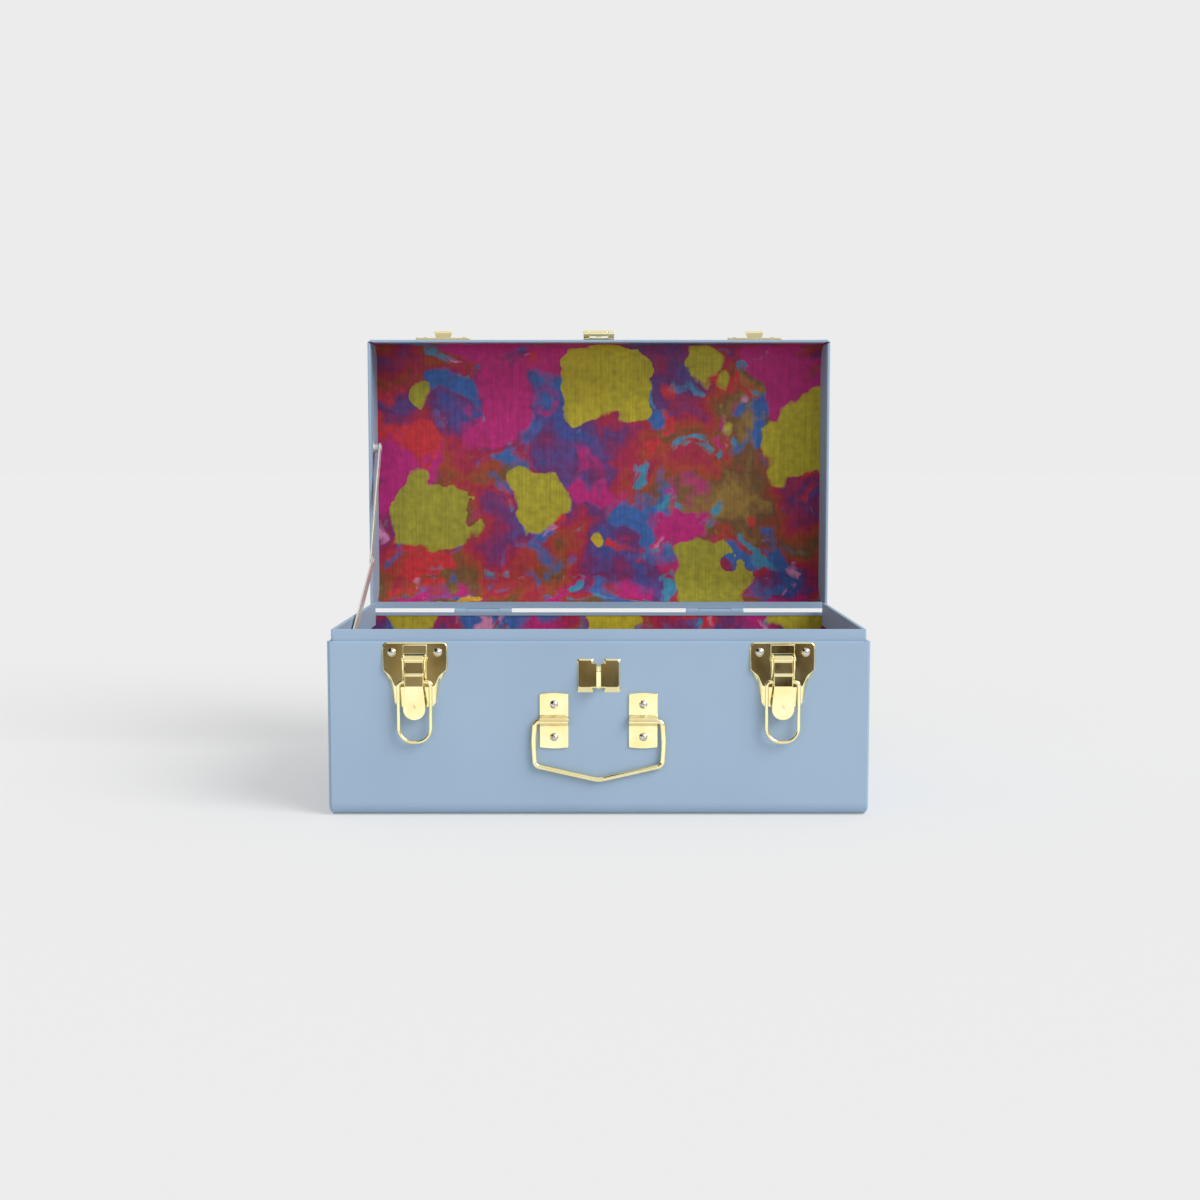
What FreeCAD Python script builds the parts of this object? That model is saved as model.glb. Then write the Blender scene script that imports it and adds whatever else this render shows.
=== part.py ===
import FreeCAD, Part
import math
import os

from FreeCAD import Vector

# A small steel storage trunk with a hinged lid, printed lining and brass hardware.
# Millimetres, +Z up, +Y to the rear, origin at the middle of the underside.
# The lid is modelled closed and then turned open about its hinge line.

# Driving dimensions of the body
width = 450.0
depth = 262.0
body_height = 146.4
sheet = 1.0
bottom_bend = 11.0
end_flange = 5.0
end_bend = 2.5
bead = 3.15
bead_round = 2.0
lip_height = 9.5
lip_seat = 12.0
lip_thickness = 3.4
lining = 0.6

# Driving dimensions of the lid
lid_height = 65.0
lid_seam = 0.3
lid_shoulder = 24.0
lid_clearance = 0.45
lid_hem_length = 11.0
lid_hem_round = 0.9
lid_rear_flange = 6.3
lip_end_gap = 0.8
open_angle = 90.0

# Driving dimensions of the lid hinges
hinge_inset = 111.0
hinge_width = 56.0
hinge_side_knuckle = 12.0
knuckle_radius = 3.1
leaf_height = 18.0
leaf_thickness = 1.2
leaf_corner = 3.0
hinge_pin_radius = 1.5
running_gap = 0.3
pin_fit = 0.08

# Driving dimensions of the latches
latch_inset = 73.0
plate_width = 54.0
plate_drop = 0.8
plate_straight = 23.0
plate_height = 54.0
plate_foot = 29.0
plate_thin = 0.6
plate_lean = 5.0
plate_channel = 2.6
plate_rim = 0.8
plate_bevel = 17.0
plate_corner = 4.0
plate_shoulder_round = 7.0
plate_waist_round = 1.6
plate_foot_round = 1.2
strap_proud = 1.0
strap_round = 0.5
strap_margin = 2.2
window_rise = 3.5
window_drop = 13.2
ear_thickness = 1.4
ear_nose = 3.0
ear_rise = 3.8
ear_round = 3.6
ear_straight = 8.2
ear_clearance = 1.0
ear_foot = 0.7
lever_width = 16.0
lever_tip_width = 20.4
lever_sheet = 1.4
lever_length = 50.5
lever_stand = 9.0
lever_barrel = 2.9
lever_head = 2.2
lever_knee = 12.9
lever_belly = 22.4
lever_toe = 37.6
lever_lean = 1.2
lever_ridge = 1.0
lever_dimple = 1.2
lever_dimple_depth = 0.5
lever_dimple_drop = 39.5
lever_pin_drop = 14.2
lever_pin_stand = 6.2
lever_pin_radius = 1.4
cheek_gap = 0.5
cheek_margin = 3.6
bail_drop = 19.2
bail_wire = 3.0
bail_width = 29.5
bail_length = 50.1
bail_flat = 2.5
bail_stand = 5.7
bail_bend = 3.2
keeper_height = 26.0
keeper_thickness = 2.1
keeper_rim_gap = 4.0
keeper_root = 12.5
hook_sheet = 1.5
hook_side_gap = 2.5

# Driving dimensions of the rivets
rivet_head = 7.0
rivet_dome = 2.1
rivet_shank = 3.2
rivet_tail = 5.0
rivet_tail_thickness = 0.8
rivet_fit = 0.05
rivet_spot = 0.8
rivet_boss = 6.4
latch_rivet_spread = 19.0
latch_rivet_drop = 9.1

# Driving dimensions of the carrying handle
bracket_gap = 2.95
bracket_width = 23.9
bracket_height = 47.3
bracket_sheet = 1.4
bracket_crown = 1.2
bracket_root_round = 1.2
bracket_dart = 1.2
bracket_dart_width = 6.0
handle_drop = 66.2
handle_wire = 4.4
handle_width = 112.6
handle_leg = 37.5
handle_point = 12.0
handle_bow = 1.2
handle_stand = 2.6
handle_bend = 4.8
bracket_rivet_rise = 13.6

# Driving dimensions of the padlock staple and hasp
staple_width = 35.6
staple_height = 27.8
staple_drop = 28.7
staple_thin = 0.9
staple_lean = 5.5
staple_pillow = 1.2
neck_width = 8.9
neck_height = 20.0
neck_round = 1.0
fin_thickness = 3.7
fin_reach = 16.0
fin_wall = 2.0
fold_gap = 0.8
fold_depth = 1.2
padlock_eye = 7.0
hasp_width = 30.0
hasp_sheet = 1.5
hasp_stand = 6.5
hasp_rise = 4.8
hasp_barrel = 2.8
hasp_pin_radius = 1.3
hasp_knuckle = 6.0
hasp_flange = 2.1
hasp_base_height = 27.0
hasp_tongue = 4.0
slot_clearance = 0.45

# Driving dimensions of the folding stay; its pivots are measured from the hinge line, lid open
stay_link_width = 11.0
stay_link_sheet = 1.5
stay_rivet_radius = 2.0
stay_rivet_head = 3.6
stay_head_thickness = 0.8
stay_bracket_sheet = 1.2
stay_body_back = 179.4
stay_body_drop = 6.0
stay_mid_back = 47.2
stay_mid_rise = 52.0
stay_lid_depth = 28.5
stay_lid_reach = 160.6
stay_bracket_length = 26.0
stay_foot_radius = 6.5
stay_boss_radius = 4.2

# Places worked out from the driving dimensions
half_width = width / 2
half_depth = depth / 2
front = -half_depth
seam = body_height
lid_rim = seam + lid_seam
lid_hem = bead - lid_clearance
hinge_stand = knuckle_radius + running_gap
hinge_line = Vector(0, half_depth + hinge_stand, seam)
lining_face = 2 * sheet
lip_outer = bead
lip_inner = bead + lip_thickness
hinge_place = half_width - hinge_inset
latch_place = half_width - latch_inset
plate_top = seam - plate_drop
lever_pin_height = seam - lever_pin_drop
latch_rivet_height = seam - latch_rivet_drop
handle_pivot = seam - handle_drop
bracket_place = handle_width / 2 - handle_wire - bracket_gap - bracket_width / 2
staple_middle = seam - staple_drop
stay_body_pivot = (hinge_line.y - stay_body_back, seam - stay_body_drop)
stay_mid_pivot = (hinge_line.y - stay_mid_back, seam + stay_mid_rise)
stay_lid_pivot = (hinge_line.y + stay_lid_depth, seam + stay_lid_reach)
plate_slope = math.tan(math.radians(plate_lean))
plate_seat = plate_thin + plate_slope * (
    plate_top - latch_rivet_height + rivet_head / 2 + rivet_spot
)
staple_slope = math.tan(math.radians(staple_lean))


def rounded_wire(corners, place):
    """Closed wire through (u, v, radius) corners, each rounded by a tangent arc."""
    starts, ends, arcs = [], [], []
    count = len(corners)
    for i, (u, v, radius) in enumerate(corners):
        corner = Vector(u, v, 0)
        before = Vector(*corners[i - 1][:2], 0) - corner
        after = Vector(*corners[(i + 1) % count][:2], 0) - corner
        before.normalize()
        after.normalize()
        opening = before.getAngle(after)
        if radius <= 0 or abs(math.pi - opening) < 1e-6:
            starts.append(corner)
            ends.append(corner)
            arcs.append(None)
            continue
        reach = radius / math.tan(opening / 2)
        bisector = before + after
        bisector.normalize()
        middle = corner + bisector * (radius / math.sin(opening / 2) - radius)
        starts.append(corner + before * reach)
        ends.append(corner + after * reach)
        arcs.append(middle)
    edges = []
    for i in range(count):
        if ends[i - 1].distanceToPoint(starts[i]) > 1e-6:
            edges.append(Part.LineSegment(place(ends[i - 1]), place(starts[i])).toShape())
        if arcs[i] is not None:
            edges.append(Part.Arc(place(starts[i]), place(arcs[i]), place(ends[i])).toShape())
    return Part.Wire(edges)


def prism_x(corners, x0, x1):
    """Solid with a (Y, Z) outline, run along X."""
    wire = rounded_wire(corners, lambda p: Vector(x0, p.x, p.y))
    return Part.Face(wire).extrude(Vector(x1 - x0, 0, 0))


def prism_y(corners, y0, y1):
    """Solid with an (X, Z) outline, run along Y."""
    wire = rounded_wire(corners, lambda p: Vector(p.x, y0, p.y))
    return Part.Face(wire).extrude(Vector(0, y1 - y0, 0))


def block(x0, x1, y0, y1, z0, z1):
    return Part.makeBox(x1 - x0, y1 - y0, z1 - z0, Vector(x0, y0, z0))


def rod_x(x0, x1, y, z, radius):
    return Part.makeCylinder(radius, x1 - x0, Vector(x0, y, z), Vector(1, 0, 0))


def rod_y(y0, y1, x, z, radius):
    return Part.makeCylinder(radius, y1 - y0, Vector(x, y0, z), Vector(0, 1, 0))


def out_x(profile, x0, x1):
    """Solid with an (outward, Z) outline in front of the front wall, run along X."""
    return prism_x([(front - out, z, radius) for out, z, radius in profile], x0, x1)


def bent_strip(path, thickness, bend):
    """Corners of a bent strip: a path of (u, v) and its copy offset to the left."""
    count = len(path)
    points = [Vector(u, v, 0) for u, v in path]
    lefts = []
    for a, b in zip(points, points[1:]):
        along = (b - a).normalize()
        lefts.append(Vector(-along.y, along.x, 0))
    near, far = [], []
    for i, point in enumerate(points):
        first = lefts[max(i - 1, 0)]
        second = lefts[min(i, count - 2)]
        half = (first + second).normalize()
        shift = half * (thickness / half.dot(second))
        turn = first.cross(second).z
        inside = bend if 0 < i < count - 1 else 0.0
        outside = bend + thickness if 0 < i < count - 1 else 0.0
        near.append((point.x, point.y, outside if turn > 0 else inside))
        moved = point + shift
        far.append((moved.x, moved.y, inside if turn > 0 else outside))
    return near + far[::-1]


def round_rod(route, radius):
    """Round wire bent along an open route of (point, bend radius)."""
    edges = []
    last = route[0][0]
    for (before, _), (corner, bend), (after, _) in zip(route, route[1:], route[2:]):
        back = (before - corner).normalize()
        ahead = (after - corner).normalize()
        opening = back.getAngle(ahead)
        reach = bend / math.tan(opening / 2)
        bisector = (back + ahead).normalize()
        start = corner + back * reach
        middle = corner + bisector * (bend / math.sin(opening / 2) - bend)
        end = corner + ahead * reach
        edges.append(Part.LineSegment(last, start).toShape())
        edges.append(Part.Arc(start, middle, end).toShape())
        last = end
    edges.append(Part.LineSegment(last, route[-1][0]).toShape())
    spine = Part.Wire(edges)
    section = Part.Wire(Part.makeCircle(radius, route[0][0], route[1][0] - route[0][0]))
    return spine.makePipeShell([section], True, False)


def front_rivet(x, z, seat, grip):
    """Domed rivet through the front wall: its head on the seat, its tail behind the wall."""
    head = rivet_head / 2
    shank = rivet_shank / 2
    tail = rivet_tail / 2
    crown = (head ** 2 + rivet_dome ** 2) / (2 * rivet_dome)
    lean = math.asin(min(1.0, head / crown)) / 2
    shoulder = Vector(crown * math.sin(lean), 0, rivet_dome - crown * (1 - math.cos(lean)))
    corners = [
        Vector(0, 0, -grip - rivet_tail_thickness),
        Vector(tail, 0, -grip - rivet_tail_thickness),
        Vector(tail, 0, -grip),
        Vector(shank, 0, -grip),
        Vector(shank, 0, 0),
        Vector(head, 0, 0),
    ]
    top = Vector(0, 0, rivet_dome)
    edges = [Part.LineSegment(a, b).toShape() for a, b in zip(corners, corners[1:])]
    edges.append(Part.Arc(corners[-1], shoulder, top).toShape())
    edges.append(Part.LineSegment(top, corners[0]).toShape())
    solid = Part.Face(Part.Wire(edges)).revolve(Vector(0, 0, 0), Vector(0, 0, 1), 360)
    solid.rotate(Vector(0, 0, 0), Vector(1, 0, 0), 90)
    solid.translate(Vector(x, front - seat, z))
    return solid


def joined(shapes):
    whole = shapes[0].fuse(shapes[1:]) if len(shapes) > 1 else shapes[0]
    return whole.removeSplitter()


def pierced(solid, tools):
    return solid.cut(Part.makeCompound(tools)) if tools else solid


def opened(shape):
    """A lid piece, modelled closed, turned open about the hinge line."""
    turned = shape.copy()
    turned.rotate(hinge_line, Vector(1, 0, 0), -open_angle)
    return turned


def save(node, shape):
    parts = shape.Solids
    result = parts[0] if len(parts) == 1 else Part.makeCompound(parts)
    if not result.isValid():
        raise ValueError(node + " is not a valid solid")
    result.exportStep("parts/" + node + ".step")


os.makedirs("parts", exist_ok=True)

# Rivet places on the front wall of the body, as (X, Z)
latch_rivets = [
    (side * latch_place + spread, latch_rivet_height)
    for side in (-1, 1)
    for spread in (-latch_rivet_spread, latch_rivet_spread)
]
bracket_rivets = [
    (side * bracket_place, handle_pivot + rise)
    for side in (-1, 1)
    for rise in (-bracket_rivet_rise, bracket_rivet_rise)
]


def tray_section(inset, top):
    """(Y, Z) outline of the body's bent sheet, set in from the outside."""
    bend = bottom_bend - inset
    edge = half_depth - inset
    return [(-edge, inset, bend), (edge, inset, bend), (edge, top, 0), (-edge, top, 0)]


def wall_holes(places):
    radius = rivet_shank / 2 + rivet_fit
    return [rod_y(front - sheet, front + 2 * sheet, x, z, radius) for x, z in places]


def edge_bead(top, outward, size, rounding):
    """Outline of a rolled edge: its outer top corner rounded."""
    inner = outward + size if outward < 0 else outward - size
    base = top - size
    return [(outward, base, 0), (outward, top, rounding), (inner, top, 0), (inner, base, 0)]


# Body sheet: front wall, floor and rear wall bent from one strip, with rolled top edges
def body_wrap():
    reach = half_width - end_bend
    bead_reach = half_width - end_flange
    above = seam + bead
    outer = prism_x(tray_section(0, seam), -reach, reach)
    inner = prism_x(tray_section(sheet, above), -width, width)
    wrap = outer.cut(inner)
    wrap = wrap.cut(block(-bead_reach, bead_reach, -depth, depth, seam - bead, above))
    beads = [
        prism_x(edge_bead(seam, side * half_depth, bead, bead_round), -bead_reach, bead_reach)
        for side in (-1, 1)
    ]
    wrap = joined([wrap] + beads)
    return pierced(wrap, wall_holes(latch_rivets + bracket_rivets))


# End panel: a pan whose flange lies inside the body sheet, with a rolled top edge
def body_end(side):
    outer_x = side * half_width
    back_x = side * (half_width - end_flange)
    pan = prism_x(tray_section(sheet, seam), outer_x, back_x)
    bends = [
        edge for edge in pan.Edges
        if all(abs(v.X - outer_x) < 1e-6 for v in edge.Vertexes)
        and edge.CenterOfMass.z < seam - 1e-6
    ]
    pan = pan.makeFillet(end_bend, bends)
    hollow = prism_x(tray_section(2 * sheet, seam + bead), side * (half_width - sheet), 0)
    pan = pan.cut(hollow)
    bead_reach = half_depth - sheet - end_bend
    pan = pan.cut(block(-width, width, -bead_reach, bead_reach, seam - bead, seam + bead))
    roll = prism_y(edge_bead(seam, outer_x, bead, bead_round), -bead_reach, bead_reach)
    return joined([pan, roll])


# Lip: a raised strip round the front and both ends, over which the lid closes
def lip_strip():
    outer_x = half_width - lip_outer
    inner_x = half_width - lip_inner
    rear = half_depth - lid_rear_flange - lip_end_gap
    low = seam - lip_seat
    high = seam + lip_height
    outer = block(-outer_x, outer_x, front + lip_outer, rear, low, high)
    inner = block(-inner_x, inner_x, front + lip_inner, half_depth, low - 1, high + 1)
    strip = outer.cut(inner)
    upright = [
        edge for edge in strip.Edges
        if abs(edge.Vertexes[0].X - edge.Vertexes[-1].X) < 1e-6
        and abs(edge.Vertexes[0].Y - edge.Vertexes[-1].Y) < 1e-6
        and edge.CenterOfMass.y < front + lip_outer + 1e-6
    ]
    strip = strip.makeFillet(lip_thickness / 2, upright)
    crown = [
        edge for edge in strip.Edges
        if abs(edge.BoundBox.ZMin - high) < 1e-6 and abs(edge.BoundBox.ZMax - high) < 1e-6
        and edge.CenterOfMass.y < rear - 1e-6
    ]
    return strip.makeFillet(lip_thickness / 5, crown)


# Printed lining of the body: floor and four walls, under the lip and the rear edge
def body_lining():
    reach = half_width - sheet
    top = seam - bead
    outer = prism_x(tray_section(lining_face, top), -reach, reach)
    inner = prism_x(tray_section(lining_face + lining, seam + bead), lining - reach, reach - lining)
    under_lip = seam - lip_seat
    rear_face = half_depth - end_flange
    shell = outer.cut(inner)
    return shell.cut(block(-width, width, -depth, rear_face, under_lip, seam + bead))


save("body_wrap", body_wrap())
save("body_end_left", body_end(-1))
save("body_end_right", body_end(1))
save("lip_strip", lip_strip())
save("body_lining", body_lining())


# Lid, drawn closed
def cover_section(inset, bottom):
    """(Y, Z) outline of the lid's bent sheet, set in from the outside."""
    bend = lid_shoulder - inset
    edge = half_depth - inset
    top = lid_rim + lid_height - inset
    return [(-edge, bottom, 0), (edge, bottom, 0), (edge, top, bend), (-edge, top, bend)]


def hem_outline(outward, inward):
    """Outline of the folded hem along the lid's rim, its lower corners rounded."""
    top = lid_rim + lid_hem_length
    turned = outward + inward * lid_hem
    return [
        (outward, lid_rim, lid_hem_round),
        (turned, lid_rim, lid_hem_round),
        (turned, top, 0),
        (outward, top, 0),
    ]


keeper_rivets = [(x, lid_rim + keeper_rim_gap + keeper_height * 0.72) for x, z in latch_rivets]
hasp_rivets = [
    (side * hasp_width * 0.3, lid_rim + hasp_rise + hasp_base_height * 0.7) for side in (-1, 1)
]


# Lid sheet: front wall, top and rear wall in one strip, hemmed at the front rim
def lid_wrap():
    reach = half_width - end_bend
    hem_reach = half_width - end_flange
    below = lid_rim - lid_hem_length
    outer = prism_x(cover_section(0, lid_rim), -reach, reach)
    inner = prism_x(cover_section(sheet, below), -width, width)
    wrap = outer.cut(inner)
    hem_space = block(-hem_reach, hem_reach, front, 0, lid_rim, lid_rim + lid_hem_length)
    hem = prism_x(hem_outline(front, 1), -hem_reach, hem_reach)
    flange = block(
        -hem_reach, hem_reach, half_depth - lid_rear_flange, half_depth, lid_rim, lid_rim + sheet
    )
    wrap = joined([wrap.cut(hem_space), hem, flange])
    return pierced(wrap, wall_holes(keeper_rivets + hasp_rivets))


# Lid end panel: a pan like the body's, open downward, with a hemmed rim
def lid_end(side):
    outer_x = side * half_width
    back_x = side * (half_width - end_flange)
    below = lid_rim - lid_hem_length
    pan = prism_x(cover_section(sheet, lid_rim), outer_x, back_x)
    bends = [
        edge for edge in pan.Edges
        if all(abs(v.X - outer_x) < 1e-6 for v in edge.Vertexes)
        and edge.CenterOfMass.z > lid_rim + 1e-6
    ]
    pan = pan.makeFillet(end_bend, bends)
    pan = pan.cut(prism_x(cover_section(2 * sheet, below), side * (half_width - sheet), 0))
    hem_reach = half_depth - sheet - end_bend
    rim_top = lid_rim + lid_hem_length
    pan = pan.cut(block(-width, width, -hem_reach, hem_reach, below, rim_top))
    hem = prism_y(hem_outline(outer_x, -side), -hem_reach, hem_reach)
    return joined([pan, hem])


# Printed lining of the lid: front wall, top and rear wall, clear of the hem
def lid_lining():
    reach = half_width - sheet
    edge = lid_rim + lid_hem_length
    outer = prism_x(cover_section(lining_face, edge), -reach, reach)
    inner = prism_x(cover_section(lining_face + lining, seam), -width, width)
    return outer.cut(inner)


save("lid_wrap", opened(lid_wrap()))
save("lid_end_left", opened(lid_end(-1)))
save("lid_end_right", opened(lid_end(1)))
save("lid_lining", opened(lid_lining()))


# Lid hinges: two painted leaves on the rear walls, knuckles and a pin
def hinge_spans(x):
    """Side and middle knuckle spans of one hinge, as (x0, x1)."""
    edge = hinge_width / 2
    inner = edge - hinge_side_knuckle
    sides = [(x - edge, x - inner), (x + inner, x + edge)]
    middle = [(x - inner + running_gap, x + inner - running_gap)]
    return sides, middle


def hinge_leaf(x, direction, own, others):
    """Leaf on a rear wall: direction -1 hangs down on the body, 1 stands up on the lid."""
    line_y, line_z = hinge_line.y, hinge_line.z
    edge = hinge_width / 2
    near = line_z + direction * running_gap
    far = line_z + direction * leaf_height
    outline = [
        (x - edge, near, 0),
        (x + edge, near, 0),
        (x + edge, far, leaf_corner),
        (x - edge, far, leaf_corner),
    ]
    plate = prism_y(outline, half_depth, half_depth + leaf_thickness)
    knuckles = [rod_x(x0, x1, line_y, line_z, knuckle_radius) for x0, x1 in own]
    room = [
        rod_x(x0 - running_gap, x1 + running_gap, line_y, line_z, hinge_stand)
        for x0, x1 in others
    ]
    bore = rod_x(x - width, x + width, line_y, line_z, hinge_pin_radius + pin_fit)
    return pierced(joined([plate] + knuckles), room + [bore])


def hinge_pin(x):
    edge = hinge_width / 2 + running_gap
    return rod_x(x - edge, x + edge, hinge_line.y, hinge_line.z, hinge_pin_radius)


for name, side in (("left", -1), ("right", 1)):
    place = side * hinge_place
    side_spans, middle_span = hinge_spans(place)
    save("hinge_body_leaf_" + name, hinge_leaf(place, -1, middle_span, side_spans))
    save("hinge_lid_leaf_" + name, opened(hinge_leaf(place, 1, side_spans, middle_span)))
    save("hinge_pin_" + name, hinge_pin(place))


# Latch plate: a pressed shield that thickens downward, with a bevelled foot, a raised strap and
# two pierced ears
lever_half = lever_width / 2
ear_inner = lever_half + running_gap
ear_outer = ear_inner + ear_thickness
plate_foot_height = plate_top - plate_height
plate_waist = plate_top - plate_straight
bail_pivot_height = lever_pin_height - bail_drop
ear_reach = bail_drop - bail_wire / 2 - ear_clearance


def shield(x, rim, foot_rise):
    """Corners of the shield outline, drawn in by a rim and by a longer rise at the foot."""
    half = plate_width / 2 - rim
    foot = plate_foot / 2
    top = plate_top - rim
    bottom = plate_foot_height + foot_rise
    shoulder_drop = (plate_waist - bottom) / 3
    right = [
        (half, top, plate_corner - rim),
        (half, plate_waist, plate_waist_round),
        (foot + (half - foot) * 0.52, plate_waist - shoulder_drop, plate_shoulder_round),
        (foot + (half - foot) * 0.22, bottom + shoulder_drop * 0.35, plate_shoulder_round / 3),
        (foot - rim, bottom, plate_foot_round),
    ]
    left = [(-u, v, r) for u, v, r in right[::-1]]
    return [(x + u, v, r) for u, v, r in right + left]


def plate_face(height):
    """How far the leaning face of the shield stands out from the front wall."""
    return plate_thin + (plate_top - height) * plate_slope


def latch_plate(x):
    back = rounded_wire(shield(x, 0, 0), lambda p: Vector(p.x, front, p.y))
    face = rounded_wire(
        shield(x, plate_rim, plate_bevel), lambda p: Vector(p.x, front - plate_face(p.y), p.y)
    )
    pressing = Part.makeLoft([back, face], True, True)
    strap_low = lever_pin_height + ear_rise
    strap_high = plate_top - strap_margin
    strap = out_x(
        [
            (plate_thin / 2, strap_low, 0),
            (plate_face(strap_low) + strap_proud, strap_low, strap_round),
            (plate_face(strap_high) + strap_proud, strap_high, strap_round),
            (plate_thin / 2, strap_high, 0),
        ],
        x - ear_outer, x + ear_outer
    )
    window = block(
        x - ear_inner, x + ear_inner, front - depth, front + sheet,
        lever_pin_height - window_drop, lever_pin_height + window_rise
    )
    channel = block(
        x - ear_inner, x + ear_inner, front - depth, front - plate_channel,
        plate_foot_height, lever_pin_height
    )
    rivets = [(u, v) for u, v in latch_rivets if abs(u - x) < plate_width]
    seats = [rod_y(front - plate_seat, front, u, v, rivet_boss / 2) for u, v in rivets]
    nose = lever_pin_stand + ear_nose
    low = lever_pin_height - ear_reach
    ear = [
        (plate_thin, lever_pin_height + ear_rise, 0),
        (nose, lever_pin_height + ear_rise, ear_round),
        (nose, lever_pin_height - ear_straight, ear_round),
        (plate_face(low) + ear_foot, low, ear_round / 3),
        (plate_thin, low, 0),
    ]
    ears = [
        out_x(ear, x - ear_outer, x - ear_inner),
        out_x(ear, x + ear_inner, x + ear_outer),
    ]
    pin_hole = rod_x(
        x - plate_width, x + plate_width, front - lever_pin_stand, lever_pin_height,
        lever_pin_radius + rivet_fit
    )
    holes = [
        rod_y(front - plate_channel, front + sheet, u, v, rivet_shank / 2 + rivet_fit)
        for u, v in rivets
    ]
    plate = pierced(pressing, [window, channel])
    return pierced(joined([plate, strap] + seats + ears), [pin_hole] + holes)


def latch_pin(x):
    reach = ear_outer + lever_pin_radius / 2
    return rod_x(x - reach, x + reach, front - lever_pin_stand, lever_pin_height, lever_pin_radius)


# Latch lever: a bent duckbill strap with two cheeks, hung on the latch pin
lever_bottom = lever_pin_height - lever_length


def lever_front(x):
    """Front outline of the strap: straight at the pivot, flared to a round tip."""
    half = lever_half - lever_sheet / 3
    tip = lever_tip_width / 2
    neck = lever_pin_height - lever_belly
    right = [(half, lever_pin_height, 0), (half, neck, lever_half), (tip, lever_bottom, tip * 0.9)]
    left = [(-u, v, r) for u, v, r in right[::-1]]
    return [(x + u, v, r) for u, v, r in right + left]


def latch_lever(x):
    path = [
        (lever_stand - lever_lean, lever_pin_height - lever_head),
        (lever_stand, lever_pin_height - lever_knee),
        (lever_stand + lever_lean * 0.75, lever_pin_height - lever_belly),
        (lever_stand + lever_lean * 0.25, lever_pin_height - lever_toe),
        (lever_stand - lever_lean * 0.75, lever_bottom - lever_ridge),
    ]
    strap = out_x(bent_strip(path[::-1], lever_sheet, lever_lean), x - width, x + width)
    strap = strap.common(prism_y(lever_front(x), front - depth, front))
    inner = plate_channel + cheek_gap
    barrel = rod_x(
        x - lever_half, x + lever_half, front - lever_pin_stand, lever_pin_height, lever_barrel
    )
    cheek = [
        (lever_pin_stand - lever_barrel, lever_pin_height, 0),
        (lever_pin_stand + lever_barrel / 2, lever_pin_height, 0),
        (lever_stand + lever_lean / 6, bail_pivot_height - cheek_margin, lever_sheet / 2),
        (inner, bail_pivot_height - cheek_margin, cheek_margin * 0.66),
    ]
    thick = lever_sheet
    cheeks = [
        out_x(cheek, x - lever_half, x - lever_half + thick),
        out_x(cheek, x + lever_half - thick, x + lever_half),
    ]
    ridge = rod_x(
        x - lever_half, x + lever_half, front - lever_stand + lever_ridge / 5,
        lever_pin_height - lever_knee, lever_ridge
    )
    bores = [
        rod_x(
            x - width, x + width, front - lever_pin_stand, lever_pin_height,
            lever_pin_radius + pin_fit
        ),
        rod_x(
            x - width, x + width, front - bail_stand, bail_pivot_height, bail_wire / 2 + pin_fit
        ),
    ]
    dimple_out = lever_stand + lever_dimple - lever_dimple_depth
    dimple = Part.makeSphere(
        lever_dimple, Vector(x, front - dimple_out, lever_pin_height - lever_dimple_drop)
    )
    return pierced(joined([strap, barrel, ridge] + cheeks), bores + [dimple])


# Bail: a round wire loop whose ends turn into the lever's cheeks
bail_half = (bail_width - bail_wire) / 2


def bail(x):
    y = front - bail_stand
    end = bail_half - bail_flat / 2
    inner = lever_half - lever_sheet - 0.4
    bottom = bail_pivot_height - bail_length
    route = [
        (Vector(x - inner, y, bail_pivot_height), 0),
        (Vector(x - bail_half, y, bail_pivot_height), bail_bend),
        (Vector(x - bail_half, y, bottom), end),
        (Vector(x + bail_half, y, bottom), end),
        (Vector(x + bail_half, y, bail_pivot_height), bail_bend),
        (Vector(x + inner, y, bail_pivot_height), 0),
    ]
    return round_rod(route, bail_wire / 2)


# Keeper on the lid: a plate with a flared hook that catches the end of the bail
hook_half = bail_half - bail_wire / 2 - hook_side_gap


def keeper(x):
    low = lid_rim + keeper_rim_gap
    high = low + keeper_height
    half = plate_width / 2
    outline = [
        (x - half, low, 2.5), (x + half, low, 2.5), (x + half, high, 5.0), (x - half, high, 5.0),
    ]
    plate = prism_y(outline, front - keeper_thickness, front)
    bar = bail_pivot_height + bail_length
    bend = bail_half - bail_flat / 2
    spread = hook_half - bail_flat / 2
    ledge = bar - bend + math.sqrt((bend - bail_wire / 2) ** 2 - spread ** 2) - running_gap
    lip = bail_stand + bail_wire / 2 + running_gap
    path = [
        (keeper_thickness / 2, ledge - hook_sheet),
        (lip + hook_sheet, ledge - hook_sheet),
        (lip + hook_sheet, bar + bail_wire / 2),
    ]
    hook = out_x(bent_strip(path, hook_sheet, 0.5), x - width, x + width)
    nose = lip + hook_sheet
    flare = [
        Vector(x - keeper_root / 2, front, 0),
        Vector(x + keeper_root / 2, front, 0),
        Vector(x + hook_half, front - nose, 0),
        Vector(x - hook_half, front - nose, 0),
    ]
    spread_face = Part.Face(Part.makePolygon(flare + flare[:1]))
    hook = hook.common(spread_face.extrude(Vector(0, 0, 2 * body_height)))
    holes = [
        rod_y(front - 2 * keeper_thickness, front + sheet, u, v, rivet_shank / 2 + rivet_fit)
        for u, v in keeper_rivets if abs(u - x) < plate_width
    ]
    return pierced(joined([plate, hook]), holes)


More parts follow.
